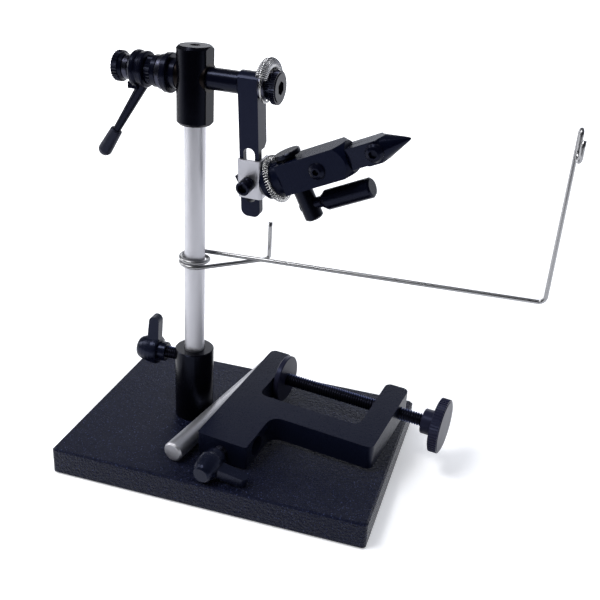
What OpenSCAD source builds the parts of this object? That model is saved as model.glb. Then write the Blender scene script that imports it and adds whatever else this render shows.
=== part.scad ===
// Fly tying vise: a rotary head on a round post, with its base, a loose C-clamp,
// a spare stem and a bent-wire bobbin rest. The origin is the middle of the base's
// underside, +X along the base's long side, +Y away from the tyer and +Z up.

/* [Base] */
// Length of the base plate along X
base_l = 152; // [130:1:190]
// Width of the base plate along Y
base_w = 106.4; // [96:0.2:140]
// Thickness of the steel base plate
base_t = 12.7; // [8:0.1:20]
// Bevel along the top edges of the base plate
base_bevel = 0.9; // [0.3:0.1:2]
// Radius of the upright corners of the base plate
base_corner_r = 2; // [1:0.5:6]
// Thickness of the pad under the base plate
pad_t = 0.8; // [0.5:0.1:3]
// How far the pad stays in from the plate's edges
pad_inset = 1.2; // [0.2:0.2:5]

/* [Post and socket] */
// Place of the post along X
post_x = -27; // [-40:1:-27]
// Place of the post along Y
post_y = 1; // [-6:1:6]
// Radius of the post and of the spare stem
post_r = 4.7625; // [4:0.0125:5]
// Height of the spindle's axis above the underside
spindle_z = 181.5; // [175:0.5:220]
// Radius of the post socket
socket_r = 9.4; // [8.5:0.1:9.6]
// Height of the post socket
socket_h = 37; // [34:1:50]
// Depth of the post in its socket
post_depth = 26; // [20:1:28]
// Distance from the socket's top to the thumb screw's axis
socket_screw_drop = 5.6; // [5:0.1:10]
// Shank radius of the bolt that holds the socket
bolt_r = 4; // [3:0.5:5]

/* [Thumb screws] */
// Radius of a thumb screw's stud
stud_r = 3; // [2.5:0.25:3.5]
// Travel of a thumb screw in one turn
stud_pitch = 1; // [0.7:0.05:1.5]
// Radius of the cap of the post's thumb screw
post_cap_r = 7; // [6:0.1:7]
// Radius of the cap of the clamp's thumb screw
stem_cap_r = 6; // [5.6:0.1:6]
// Length of a thumb screw's cap
cap_h = 11.2; // [10:0.2:14]
// Radius of the collar between cap and stud
cap_collar_r = 4.75; // [4:0.25:6]
// Length of that collar
cap_collar_h = 3.8; // [2:0.2:6]
// Reach of the wing from the screw's axis
wing_reach = 19; // [15:0.5:24]
// Thickness of the wing
wing_t = 4.8; // [3:0.2:6]
// Width of the wing at its end
wing_end_w = 5.2; // [3.4:0.2:6]
// Width of the wing at the cap
wing_root_w = 6.2; // [6:0.2:9]

/* [Head] */
// Turn of the head about the post, towards the tyer
head_turn = 5; // [0:1:20]
// Radius of the head's round bar
head_r = 8.1; // [7.7:0.1:10]
// Distance of each milled flat from the post's axis
head_flat = 7.2; // [6.9:0.1:7.5]
// Height of the head above the spindle's axis
head_above = 12.9; // [10:0.1:18]
// Length of the head below the spindle's axis
head_below = 20.5; // [18:0.5:28]
// Bevel at the head's ends
head_bevel = 1.2; // [0.4:0.1:2]

/* [Spindle and crank] */
// Swing of the drop arm about the spindle
arm_swing = 7; // [0:1:20]
// Radius of the spindle
spindle_r = 4.75; // [4.4:0.05:5]
// Radius of the threaded ends of the spindle
nose_r = 3; // [2.5:0.25:3.5]
// Outer radius of the spindle's bushes
bush_r = 6.2; // [5.8:0.1:6.4]
// Radius of the bearing flange
flange_r = 8.6; // [7.8:0.1:10]
// Radius of the friction washer
washer_r = 7.6; // [7:0.1:9]
// Radius of the knurled tension ring
tension_r = 6.2; // [6:0.1:7]
// Largest radius of the crank's hub
crank_hub_r = 8; // [7.8:0.1:9.2]
// Width of the crank's hub
crank_hub_w = 7.9; // [7.7:0.1:9]
// Lean of the crank lever from square to the spindle
crank_lean = 33; // [30:0.5:36]
// Distance along the crank lever from the spindle's axis to its grip
crank_neck = 34.4; // [30:0.2:40]
// Radius of the crank lever at its grip
crank_rod_r = 1.75; // [1.4:0.05:2]
// Length of the crank's grip
grip_l = 15; // [12:0.2:24]
// Radius of the crank's grip at its round end
grip_r = 3.2; // [2.8:0.1:4.5]
// Radius of the end knob
end_knob_r = 6.7; // [6.1:0.1:8]
// Length of the end knob
end_knob_l = 4.7; // [4.6:0.1:7]

/* [Drop arm] */
// Distance from the post's axis to the arm
arm_start = 21.9; // [20:0.1:28]
// Width of the arm along the spindle
arm_w = 9.1; // [8.6:0.1:12]
// Thickness of the arm's upper part
arm_t = 8.4; // [7.8:0.2:10]
// Thickness of the arm's blade
blade_t = 3.2; // [2.4:0.1:4]
// Length of the arm below the spindle's axis
arm_l = 59.1; // [58:0.1:70]
// Distance from the spindle's axis to the step where the blade starts
step_drop = 25.9; // [22:0.1:26]
// Width of the slot
slot_w = 5.4; // [5.2:0.1:6]
// Distance from the spindle's axis to the slot's upper end
slot_top = 26.8; // [25:0.1:28]
// Distance from the arm's end to the slot's lower end
slot_below = 7; // [5:0.1:8]

/* [Lock knob and material spring] */
// Radius of the hub between arm and lock knob
spring_hub_r = 5.5; // [5:0.1:5.6]
// Width of that hub
spring_hub_w = 3; // [2.8:0.1:3.2]
// Radius of the lock knob
lock_knob_r = 7; // [6.4:0.1:7.2]
// Length of the lock knob
lock_knob_l = 5.6; // [5.5:0.1:8]
// Outer radius of the material spring's coil
arch_coil_r = 2.8; // [2.4:0.05:2.8]
// Radius of the spring's bent centre line
arch_bend_r = 8.5; // [8.45:0.05:9.5]
// Curls in the material spring
arch_curls = 16; // [10:1:16]
// Angle that the material spring covers
arch_sweep = 132; // [130:1:150]
// Radius of the springs' wire
spring_wire_r = 0.2; // [0.15:0.01:0.21]
// Radius of the hoop's wire
hoop_wire_r = 0.5; // [0.3:0.05:0.5]

/* [Bracket] */
// Distance from the spindle's axis to the cap screw
bracket_drop = 42.6; // [40:0.1:43]
// Thickness of the bracket's sheet
sheet_t = 1.2; // [0.8:0.1:1.6]
// Height of the bracket above the cap screw
bracket_above = 10.7; // [7:0.1:12]
// Height of the bracket below the cap screw
bracket_below = 7.1; // [6:0.1:9]
// Shank radius of the cap screw
cap_screw_r = 2.4; // [2:0.05:2.5]
// Head radius of the cap screw
cap_screw_head_r = 3.2; // [3.2:0.1:4.2]
// Height of the cap screw's head
cap_screw_head_h = 4; // [3.4:0.1:6]
// Length of the spacer under the cap screw's head
spacer_h = 2.6; // [2:0.1:6]
// Thickness of the clamp nut behind the blade
nut_t = 3.5; // [2.6:0.1:4.4]
// Length of the clamp nut's tail
nut_tail = 7.8; // [6:0.1:10]
// Turn of the clamp nut
nut_turn = 27; // [10:1:32]

/* [Jaw head] */
// Rise of the jaws above level
jaw_rise = 25.5; // [15:0.5:32]
// Drop of the jaw head's axis below the cap screw
jaw_axis_drop = 0.55; // [0:0.05:2]
// Radius of the jaw collar
collar_r = 8; // [7.9:0.1:8.4]
// Length of the jaw collar along the jaws' axis
collar_l = 11.1; // [10.4:0.1:14]
// Length of the jaw body
jaw_body_l = 32.6; // [32:0.2:40]
// Depth of the jaw body, across the jaws
jaw_body_w = 15; // [14:0.2:18]
// Height of the jaw body above the jaws' axis
jaw_body_up = 7; // [6.6:0.1:7.8]
// Height of the jaw body below the jaws' axis
jaw_body_down = 6.6; // [6.4:0.1:8]
// Distance from the jaw body to the jaws' tips
jaw_reach = 26.7; // [24:0.1:30]
// Width of the closed pair of jaws
jaw_w = 10; // [9:0.1:10.2]
// Height of the jaws
jaw_h = 9.2; // [8:0.1:9.4]
// Length of the jaws' pointed nose
jaw_nose_l = 12.6; // [10:0.1:14]
// Radius of the jaws' tip
jaw_tip_r = 0.9; // [0.5:0.05:1.4]
// Radius of the cam shaft
cam_r = 4.2; // [3.8:0.05:4.2]
// Reach of the cam shaft below the jaws' axis
cam_drop = 21.7; // [20.6:0.1:26]
// Distance of the cam lever below the jaws' axis
lever_drop = 15.2; // [14.4:0.1:17]
// Radius of the cam lever's barrel
lever_r = 4.45; // [3.6:0.05:5]
// Length of the cam lever's barrel
lever_l = 25; // [20:0.2:32]
// Radius of the thumb disc
disc_r = 6; // [5:0.1:6.2]
// Thickness of the thumb disc
disc_t = 2.2; // [1.8:0.1:3]
// Outer radius of the collar spring's coil
ring_coil_r = 1.45; // [1.2:0.05:1.5]
// Curls in the collar spring
ring_curls = 54; // [30:1:54]

/* [Bobbin rest] */
// Radius of the bobbin rest's wire
rest_wire_r = 0.95; // [0.7:0.05:1]
// Height of the bobbin rest's long arm at the post
rest_z = 99.2; // [90:0.1:104]
// Radius of the rest's coil round the post
rest_coil_r = 6.4; // [6.3:0.1:7]
// Reach of the bobbin rest from the post
rest_reach = 158.2; // [130:0.2:190]
// Rise of the long arm from the post to its end
rest_rise = 3.2; // [0:0.1:10]
// Height of the upright from the long arm to the cradle's top
rest_upright = 75.3; // [60:0.1:90]
// Depth of the cradle's fork
cradle_depth = 11; // [9:0.1:16]
// Width between the cradle's prongs, centre to centre
cradle_w = 7.2; // [7:0.1:10]
// Length of the short arm along its own way
hook_reach = 34.3; // [28:0.1:40]
// Height of the short arm's upright
hook_h = 18.2; // [12:0.2:18.4]

/* [Clamp] */
// Length of the clamp along its screw
clamp_l = 76.4; // [70:0.2:84]
// Depth of the clamp from front block to open ends
clamp_w = 77; // [72:0.2:80]
// Thickness of the clamp
clamp_t = 12.7; // [12.5:0.1:16]
// Width of the clamp's fixed jaw
clamp_jaw_w = 11.9; // [10:0.1:13]
// Width of the clamp's screw arm
clamp_arm_w = 11.8; // [10:0.1:13]
// Width of the clamp's front block
clamp_block_w = 25.3; // [24:0.1:30]
// Depth of the clamp's front block
clamp_block_d = 26.3; // [24:0.1:30]
// Depth of the clamp's bridge
clamp_bridge_d = 12.7; // [10:0.1:14]
// Place of the stem's bore behind the block's front face
stem_bore_y = 10.6; // [10:0.1:14]
// Radial clearance of the stem's bore
stem_clear = 0.05; // [0.02:0.01:0.09]
// Place of the clamp screw's axis in from the open ends
clamp_screw_in = 12.3; // [12.1:0.1:14]
// Radius of the clamp screw
clamp_screw_r = 3.175; // [2.8:0.025:3.6]
// Travel of the clamp screw in one turn
clamp_pitch = 1.27; // [1:0.01:2]
// Radius of the clamp's swivel pad
clamp_pad_r = 12; // [10:0.1:12]
// Thickness of the clamp's swivel pad
clamp_pad_t = 2.8; // [2.2:0.1:4]
// Radius of the clamp screw's knob
clamp_knob_r = 13.4; // [11:0.1:15]
// Thickness of the clamp screw's knob
clamp_knob_t = 5; // [4:0.1:8]
// Length of the knob's hub
clamp_hub_l = 6; // [4:0.2:9]
// Free screw between the arm and the knob's hub
clamp_screw_free = 12.1; // [8:0.1:16]

/* [Spare stem] */
// Length of the spare stem
stem_l = 92; // [70:1:94]
// Turn of the spare stem from the Y axis
stem_turn = 9.5; // [8.5:0.1:10]

/* [Pose of the loose clamp] */
// Place of the clamp's near left corner along X
clamp_x = -10.5; // [-10.5:0.1:-6]
// Place of the clamp's near left corner along Y
clamp_y = -32.9; // [-33.4:0.1:-31]
// Lift of that corner above the base plate
clamp_lift = 1.1; // [1:0.1:4]
// Turn of the clamp towards the right
clamp_turn = 7.8; // [6:0.1:8.4]
// Tilt of the clamp up at its open ends
clamp_tilt = 5.1; // [5:0.1:6]
// Tilt of the clamp down at its right end
clamp_roll = 1; // [0:0.1:1.2]

/* [Hidden] */

// Facets of a drawn circle, and of a circle inside a hull
$fn = 64;
hull_fn = 32;
// Clearances: a running fit, a sliding face, a loose piece and a piece held fast
run_gap = 0.05;
slide_gap = 0.1;
loose_gap = 0.3;
seat_gap = 0.02;
// Overrun of every cut
over = 1;
// Bevel on small turned pieces
edge = 0.4;

// Heights along the post
head_wall = 1.3;
base_top = pad_t + base_t;
socket_top = base_top + socket_h;
post_foot = socket_top - post_depth;
socket_screw_z = socket_top - socket_screw_drop;
post_top = spindle_z - bush_r - head_wall;
bolt_head_r = 1.75 * bolt_r;
bolt_recess = 0.3;
socket_floor = 0.3;

// Stations along the spindle, from the head to the left end and to the right end
sleeve_r = 6.4;
sleeve_l = 3.3;
flange_t = 2.9;
washer_t = 2.4;
tension_step_l = 2.5;
tension_step_r = 7;
tension_l = 3.5;
end_washer_gap = 0.6;
end_washer_t = 2.9;
end_washer_r = 5.4;
flange_a = -head_flat - sleeve_l;
washer_a = flange_a - flange_t - slide_gap;
tension_a = washer_a - washer_t - slide_gap;
hub_a = tension_a - tension_step_l - tension_l - slide_gap;
end_washer_a = hub_a - crank_hub_w - end_washer_gap;
end_knob_a = end_washer_a - end_washer_t - slide_gap;
end_neck_l = 1.1;
arm_end = arm_start + arm_w;
lock_knob_a = arm_end + spring_hub_w + slide_gap;
nose_l = 3.6;
lock_nose_l = 3;

// Grub screws of the head
grub_r = 2.25;
grub_sink = 2.6;
grub_hex_r = 1.4;
grub_hex_h = 2;
bush_l = head_flat - grub_r - seat_gap;
post_grub_drop = 14;

// Crank
crank_swing = 0;
hub_profile_shares = [[0, 0.7], [0.06, 0.86], [0.15, 0.96], [0.24, 1], [0.38, 1], [0.46, 0.97],
    [0.52, 0.91], [0.64, 0.91], [0.7, 0.97], [0.88, 0.98], [0.95, 0.93], [1, 0.8]];
crank_root_r = 2.4;
crank_sink = 7.5;
crank_cross = 0.9;
crank_cross_a = hub_a + crank_cross;
lug_l = 5;
lug_out = 1.7;
lug_w = 6;
lug_drop = 8.6;
lug_slit = 1;
lug_screw_r = 1.2;
lug_screw_l = 2.1;
lug_a = hub_a - crank_hub_w - lug_out;
lug_top = end_washer_r + loose_gap;
grip_root_share = 0.72;
grip_neck_share = 0.85;

// Arm and bracket
arm_top_r = 5.5;
arm_corner_r = 3.2;
step_bevel = 2.1;
arm_mid = arm_start + arm_w / 2;
blade_back = blade_t - arm_t / 2;
plate_back = -arm_t / 2 - slide_gap;
plate_front = plate_back - sheet_t;
plate_lip = 0.4;
flange_in = arm_end + slide_gap;
jaw_start = flange_in + sheet_t;
flange_reach = 3.4;
bend_r = 1.5;
cap_hex_r = 2.3;
cap_hex_h = 2.4;
nut_r = 4.1;

// Jaw head, along its own axis
jaw_axis_c = bracket_drop + jaw_axis_drop;
spigot_r = 2.2;
collar_start = -4;
collar_start_r = 3.2;
collar_cone_end = 1.4;
ring_s = 6.2;
ring_bend_r = collar_r - loose_gap + ring_coil_r;
ring_open_turn = 6;
jaw_body_s = collar_l;
jaw_body_end = collar_l + jaw_body_l;
jaw_tip_s = jaw_body_end + jaw_reach;
body_corner_r = 10.2;
body_turned_l = 4;
body_nose_r = 6.8;
slot_wall = 1.5;
jaw_side_gap = 0.3;
cam_place = 3;
cam_s = jaw_body_s + slot_wall + cam_place;
cam_long_r = 2.3;
cam_short_r = 1.6;
cam_gap = 0.15;
cam_top_r = 2.2;
cam_rise = 1.1;
jaw_pivot_in = 14.4;
jaw_pivot_s = jaw_tip_s - jaw_pivot_in;
jaw_tail_s = jaw_body_s + slot_wall + loose_gap;
jaw_fork_s = cam_s + cam_r;
jaw_relief = 1.1;
jaw_shoulder_l = 1.2;
jaw_corner_r = norm([jaw_w, jaw_h]) / 2;
jaw_shoulder_r = 5.4;
jaw_belly = 0.5;
jaw_belly_l = 7.5;
belly_start_share = 0.8;
jaw_tip_share = 0.4;
dome_share = 0.9;
screw_dome_shares = [0.85, 0.8];
pin_screw_place = 18.5;
pin_screw_s = jaw_body_s + pin_screw_place;
pin_screw_r = 1.5;
pin_head_r = 3.8;
pin_head_h = 1.9;
pin_clear = 0.4;
jaw_screw_r = 1.9;
jaw_screw_head_r = 3.95;
jaw_screw_head_h = 3;
jaw_screw_clear = 0.45;
lever_rod_r = 2.5;
lever_cone_s = 6.4;
lever_cone_l = 3;

// Material spring and its hoop
arch_up = 0.7;
arch_start = -57;
arch_gap = 0.4;
hoop_off = 0.7;
hoop_in = 1.2;
arch_a = arm_end + arch_coil_r + arch_gap;
hoop_a = arch_a - hoop_off;
hoop_r = arch_bend_r - hoop_in;
lock_step_r = 5.5;
lock_step_l = 2.5;
lock_socket_r = 3;
lock_socket_h = 2;

// Bobbin rest
rest_gap = 0.45;
rest_corner_r = 3;
hook_corner_r = 2.2;
hairpin_w = 3.4;
cradle_prong = 8.9;
rest_lean = 1;
fork_turn = 9;
rest_leave = 576.5;
hook_rise = 1.6;
coil_steps = 40;
corner_steps = 6;
rest_sides = 8;

// Clamp and thumb screws
clamp_fillet = 5.5;
clamp_inner_r = 3.5;
clamp_outer_r = 3;
clamp_edge_r = 1.2;
clamp_screw_y = clamp_w - clamp_screw_in;
clamp_hub_r = 6.2;
clamp_pad_x = clamp_jaw_w + loose_gap;
clamp_hub_x = clamp_l + clamp_screw_free;
clamp_knob_x = clamp_hub_x + clamp_hub_l;
clamp_seat = 1.4;
stem_bore_r = post_r + stem_clear;
stud_free = 5;
stud_engaged = socket_r - post_r - loose_gap;
stud_l = stud_engaged + stud_free;
stud_in_cap = 7.4;
cap_profile_shares = [[0, 0.7], [0.03, 0.92], [0.08, 0.98], [0.16, 1], [0.3, 1], [0.5, 0.96],
    [0.7, 0.88], [0.84, 0.8], [0.93, 0.72], [0.98, 0.64], [1, 0.58]];
wing_lean = 1.6;
wing_place = 3.6;
wing_droop = 10;
stem_screw_y = stem_bore_y - stem_bore_r - loose_gap;
stem_x = -19.5;
stem_y = -42;

// Teeth of the knurled rims, and the depth of a knurl
end_teeth = 30;
tension_teeth = 26;
lock_teeth = 44;
clamp_teeth = 56;
knurl_depth = 0.35;

// Shapes shared by several pieces

// Rectangle with round corners, centred
module round_rect(l, w, r) {
    square([l - 2 * r, w], center = true);
    square([l, w - 2 * r], center = true);
    for (i = [-1, 1], j = [-1, 1])
        translate([i * (l / 2 - r), j * (w / 2 - r)]) circle(r);
}

// Bar with round ends in the plane: radius r0 at the origin, r1 at distance l along x
module round_bar(r0, r1, l) {
    lean = asin((r0 - r1) / l);
    circle(r0);
    translate([l, 0]) circle(r1);
    polygon([for (p = [[0, r0, 1], [l, r1, 1], [l, r1, -1], [0, r0, -1]])
        [p[0] + p[1] * sin(lean), p[2] * p[1] * cos(lean)]]);
}

// Solid turned about the x axis from points [place along x, radius]
module turned(points) {
    rotate([0, 90, 0]) rotate_extrude() polygon([for (p = points) [p[1], p[0]]]);
}

// Ring or rod about the x axis between two places, bevelled at both ends
module ring(a0, a1, r_out, r_in = 0, bevel = edge) {
    turned([[a0, r_in], [a0, r_out - bevel], [a0 + bevel, r_out],
        [a1 - bevel, r_out], [a1, r_out - bevel], [a1, r_in]]);
}

// Straight knurled rim about the x axis, between two plain lips
module knurled(a0, a1, r, teeth) {
    ring(a0, a1, r - 2 * knurl_depth);
    translate([a0 + edge, 0, 0]) rotate([0, 90, 0]) linear_extrude(a1 - a0 - 2 * edge)
        polygon([for (i = [0 : 2 * teeth - 1])
            (r - (i % 2) * knurl_depth) * [cos(180 * i / teeth), sin(180 * i / teeth)]]);
}

// Bore along x
module bore(a0, a1, r) {
    translate([a0, 0, 0]) rotate([0, 90, 0]) cylinder(h = a1 - a0, r = r);
}

// Hexagon socket along x
module hex_socket(a0, a1, r) {
    translate([a0, 0, 0]) rotate([0, 90, 0]) cylinder(h = a1 - a0, r = r, $fn = 6);
}

// Piece to be cut from an outer corner at the origin, rounding it by r
module corner_cut(r) {
    difference() {
        translate([-over, -over]) square(r + over);
        translate([r, r]) circle(r);
    }
}

// Piece to be added in an inner corner at the origin, filling it by r
module corner_fill(r) {
    difference() {
        square(r);
        translate([r, r]) circle(r);
    }
}

// Triangles of a tube whose rings follow each other, with flat ends
function tube_faces(rings, sides) = concat(
    [for (i = [0 : rings - 2], j = [0 : sides - 1], half = [0, 1])
        let (a = i * sides, b = a + sides, k = (j + 1) % sides)
        half == 0 ? [a + j, b + j, b + k] : [a + j, b + k, a + k]],
    [for (j = [1 : sides - 2]) [0, j, j + 1]],
    [for (j = [1 : sides - 2], last = [(rings - 1) * sides]) [last, last + j + 1, last + j]]);

// Unit vector
function unit(v) = v / norm(v);

// Coil bent round a circle in the yz plane: places of its wire, then the tube's points
function coil_at(k, bend_r, mid_r, curls, start, sweep) =
    let (turn = start + sweep * k / (8 * curls), wind = 45 * k)
    [mid_r * sin(wind), (bend_r + mid_r * cos(wind)) * sin(turn),
        (bend_r + mid_r * cos(wind)) * cos(turn)];
function coil_out(k, curls, start, sweep) =
    let (turn = start + sweep * k / (8 * curls), wind = 45 * k)
    [sin(wind), cos(wind) * sin(turn), cos(wind) * cos(turn)];
function coil_points(bend_r, mid_r, wire_r, curls, start, sweep) =
    [for (k = [0 : 8 * curls], j = [0 : 5])
        let (p = coil_at(k, bend_r, mid_r, curls, start, sweep),
            way = unit(coil_at(k + 0.5, bend_r, mid_r, curls, start, sweep)
                - coil_at(k - 0.5, bend_r, mid_r, curls, start, sweep)),
            side = unit(cross(way, coil_out(k, curls, start, sweep))), out = cross(side, way))
        p + wire_r * (cos(60 * j) * out + sin(60 * j) * side)];
// Least gap between neighbouring curls, from the wire's places
function coil_gap(bend_r, mid_r, wire_r, curls, start, sweep) =
    min([for (k = [0 : 8 * curls - 5], n = [5 : 12])
        if (k + n <= 8 * curls) norm(coil_at(k, bend_r, mid_r, curls, start, sweep)
            - coil_at(k + n, bend_r, mid_r, curls, start, sweep))]) - 2 * wire_r;
module coil(bend_r, mid_r, wire_r, curls, start, sweep, name) {
    echo(str(name, " least gap ", coil_gap(bend_r, mid_r, wire_r, curls, start, sweep)));
    polyhedron(coil_points(bend_r, mid_r, wire_r, curls, start, sweep),
        tube_faces(8 * curls + 1, 6));
}

// Frames: the head on its post, what turns with the spindle, the jaw head, the clamp
module on_post() translate([post_x, post_y, 0]) children();
module on_head() translate([post_x, post_y, spindle_z]) rotate([0, 0, -head_turn]) children();
module on_rotor() on_head() rotate([arm_swing, 0, 0]) children();
module on_jaw()
    on_rotor() translate([jaw_start, 0, -jaw_axis_c]) rotate([0, -jaw_rise, 0]) children();
module on_clamp() translate([clamp_x, clamp_y, base_top + clamp_lift])
    rotate([clamp_tilt, clamp_roll, -clamp_turn]) children();
module on_cam() on_jaw() translate([cam_s, 0, 0]) children();
module on_hub() on_head() rotate([crank_swing, 0, 0]) children();
module on_crank() on_hub() translate([crank_cross_a, 0, 0])
    rotate([0, 90 + crank_lean, 0]) children();
module on_cap_screw() on_rotor() translate([arm_mid, plate_front, -bracket_drop])
    rotate([0, 0, -90]) children();
module on_post_screw() translate([post_x - post_r - loose_gap, post_y, socket_screw_z])
    rotate([0, 0, 180]) children();
module on_stem_screw() on_clamp() translate([clamp_block_w / 2, stem_screw_y, clamp_t / 2])
    rotate([0, 0, -90]) children();

// Base and socket

module base_plate() color("darkslategray") {
    difference() {
        translate([0, 0, pad_t]) hull() {
            linear_extrude(base_t - base_bevel)
                round_rect(base_l, base_w, base_corner_r, $fn = hull_fn);
            linear_extrude(base_t) round_rect(base_l - 2 * base_bevel,
                base_w - 2 * base_bevel, base_corner_r - base_bevel / 2, $fn = hull_fn);
        }
        on_post() translate([0, 0, pad_t - over]) cylinder(h = base_t + 2 * over, r = bolt_r + run_gap);
        on_post() translate([0, 0, pad_t]) bolt_head(seat_gap);
    }
}

module base_pad() color("dimgray") linear_extrude(pad_t)
    round_rect(base_l - 2 * pad_inset, base_w - 2 * pad_inset, base_corner_r);

// Countersunk head from its flat face up, with room round it
module bolt_head(room) {
    rotate_extrude() polygon([[0, -room], [bolt_head_r + room, -room],
        [bolt_head_r + room, bolt_recess], [bolt_r + room, bolt_recess + bolt_head_r - bolt_r],
        [0, bolt_recess + bolt_head_r - bolt_r]]);
}

module post_socket() color("black") on_post() difference() {
    translate([0, 0, base_top]) rotate([0, -90, 0]) ring(0, socket_h, socket_r);
    translate([0, 0, post_foot - socket_floor])
        cylinder(h = post_depth + socket_floor + over, r = post_r + run_gap);
    translate([0, 0, base_top - over])
        cylinder(h = post_foot - base_top, r = bolt_r + seat_gap);
    translate([0, 0, socket_top - edge]) cylinder(h = edge + over, r1 = post_r + run_gap,
        r2 = post_r + run_gap + edge + over);
    translate([0, 0, socket_screw_z]) bore(-socket_r - over, 0, stud_r + run_gap);
}

module socket_bolt() color("silver") on_post() {
    translate([0, 0, pad_t + seat_gap]) bolt_head(0);
    translate([0, 0, pad_t + bolt_recess])
        cylinder(h = post_foot - over - edge - pad_t - bolt_recess, r = bolt_r);
}

// Thumb screws: x runs outwards along the screw from the stud's tip

module stud() ring(0, stud_l + cap_collar_h + stud_in_cap, stud_r);

// Cap with its largest radius at the collar, tapering to a flat round end, and its wing
module thumb_knob(cap_r) {
    cap_start = stud_l + cap_collar_h;
    difference() {
        union() {
            ring(stud_l, cap_start + edge, cap_collar_r);
            turned(concat([[cap_start, 0]],
                [for (q = cap_profile_shares) [cap_start + cap_h * q[0], cap_r * q[1]]],
                [[cap_start + cap_h, 0]]));
            translate([cap_start + wing_place, wing_t / 2, 0]) rotate([90, 0, 0])
                linear_extrude(wing_t) rotate(90 + atan(wing_lean / wing_reach))
                round_bar(wing_root_w / 2, wing_end_w / 2, wing_reach - wing_end_w / 2);
        }
        bore(stud_l - over, cap_start + stud_in_cap + run_gap, stud_r + run_gap);
    }
}

module post_screw_stud() color("dimgray") on_post_screw() stud();
module post_screw_knob() color("black") on_post_screw() thumb_knob(post_cap_r);
module stem_screw_stud() color("dimgray") on_stem_screw() stud();
module stem_screw_knob() color("black")
    on_stem_screw() rotate([-90 - wing_droop, 0, 0]) thumb_knob(stem_cap_r);

// Post and head

module post() color("lightgray") on_post() translate([0, 0, post_foot])
    rotate([0, -90, 0]) ring(0, post_top - post_foot, post_r, bevel = 2 * edge);

module head_block() color("black") on_head() difference() {
    intersection() {
        rotate([0, -90, 0]) ring(-head_below, head_above, head_r, bevel = head_bevel);
        translate([-head_flat, -head_r, -head_below])
            cube([2 * head_flat, 2 * head_r, head_below + head_above]);
    }
    translate([0, 0, -head_below - over])
        cylinder(h = head_below + over + post_top - spindle_z + run_gap, r = post_r + run_gap);
    bore(-head_r, head_r, bush_r);
    cylinder(h = head_above + over, r = grub_r);
    translate([0, 0, -post_grub_drop]) rotate([0, 0, 90]) bore(0, head_r + over, grub_r);
}

module spindle_bushes() color("goldenrod") on_head() difference() {
    for (a = [-head_flat, head_flat - bush_l]) ring(a, a + bush_l, bush_r - seat_gap, bevel = seat_gap);
    bore(-head_r, head_r, spindle_r + run_gap);
}

// Grub screw along x from its tip, with its hexagon socket
module grub(l) {
    difference() {
        ring(0, l, grub_r - seat_gap);
        hex_socket(l - grub_hex_h, l + over, grub_hex_r);
    }
}

module head_grub_screws() color("dimgray") on_head() {
    rotate([0, -90, 0]) translate([spindle_r + loose_gap, 0, 0])
        grub(head_above - spindle_r - loose_gap - grub_sink);
    translate([0, 0, -post_grub_drop]) rotate([0, 0, 90]) translate([post_r + loose_gap, 0, 0])
        grub(head_flat - post_r - loose_gap);
}

module bearing_flange() color("black") on_head() difference() {
    union() {
        ring(flange_a - flange_t, flange_a, flange_r);
        ring(flange_a - edge, -head_flat, sleeve_r);
    }
    bore(flange_a - flange_t - over, over - head_flat, spindle_r + run_gap);
}

// Spindle, crank and knobs

module spindle() color("black") on_rotor() turned([[end_knob_a - nose_l, 0],
    [end_knob_a - nose_l, nose_r - edge], [end_knob_a - nose_l + edge, nose_r],
    [end_washer_a, nose_r], [end_washer_a, spindle_r - edge],
    [end_washer_a + edge, spindle_r], [arm_start - edge, spindle_r],
    [arm_start, spindle_r - edge], [arm_start, nose_r],
    [lock_knob_a + lock_nose_l - edge, nose_r], [lock_knob_a + lock_nose_l, nose_r - edge],
    [lock_knob_a + lock_nose_l, 0]]);

module friction_washer() color("darkgray") on_rotor()
    ring(washer_a - washer_t, washer_a, washer_r, spindle_r + run_gap);

module tension_ring() color("black") on_rotor() difference() {
    union() {
        ring(tension_a - tension_step_l - edge, tension_a, tension_step_r);
        knurled(tension_a - tension_step_l - tension_l, tension_a - tension_step_l,
            tension_r, tension_teeth);
    }
    bore(tension_a - tension_step_l - tension_l - over, tension_a + over, spindle_r + run_gap);
}

module crank_hub() color("black") on_hub() difference() {
    union() {
        turned(concat([[hub_a - crank_hub_w, 0]],
            [for (q = hub_profile_shares)
                [hub_a - crank_hub_w * (1 - q[0]), crank_hub_r * q[1]]],
            [[hub_a, 0]]));
        translate([lug_a, -lug_w / 2, -lug_drop]) cube([lug_l, lug_w, lug_drop - lug_top]);
    }
    bore(hub_a - 2 * crank_hub_w, hub_a + over, spindle_r + seat_gap);
    translate([lug_a + lug_l, -crank_hub_r, -lug_drop - over])
        cube([lug_slit, 2 * crank_hub_r, lug_drop + over - spindle_r - edge]);
    translate([crank_cross_a, 0, 0]) rotate([0, 90 + crank_lean, 0])
        bore(crank_sink, 2 * crank_hub_r, crank_root_r + seat_gap);
    translate([0, 0, (lug_top + lug_drop) / -2])
        bore(lug_a - over, lug_a + lug_screw_l + seat_gap, lug_screw_r + seat_gap);
}

module crank_clamp_screw() color("dimgray") on_hub()
    translate([lug_a, 0, (lug_top + lug_drop) / -2]) difference() {
        ring(0, lug_screw_l, lug_screw_r, bevel = seat_gap);
        hex_socket(-over, lug_screw_l / 2, lug_screw_r / 2);
    }

module crank_lever() color("black") on_crank() turned([[crank_sink, 0],
    [crank_sink, crank_root_r], [crank_hub_r + edge, crank_root_r], [crank_neck, crank_rod_r],
    [crank_neck + grip_l / 2, crank_rod_r], [crank_neck + grip_l / 2, 0]]);

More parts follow.
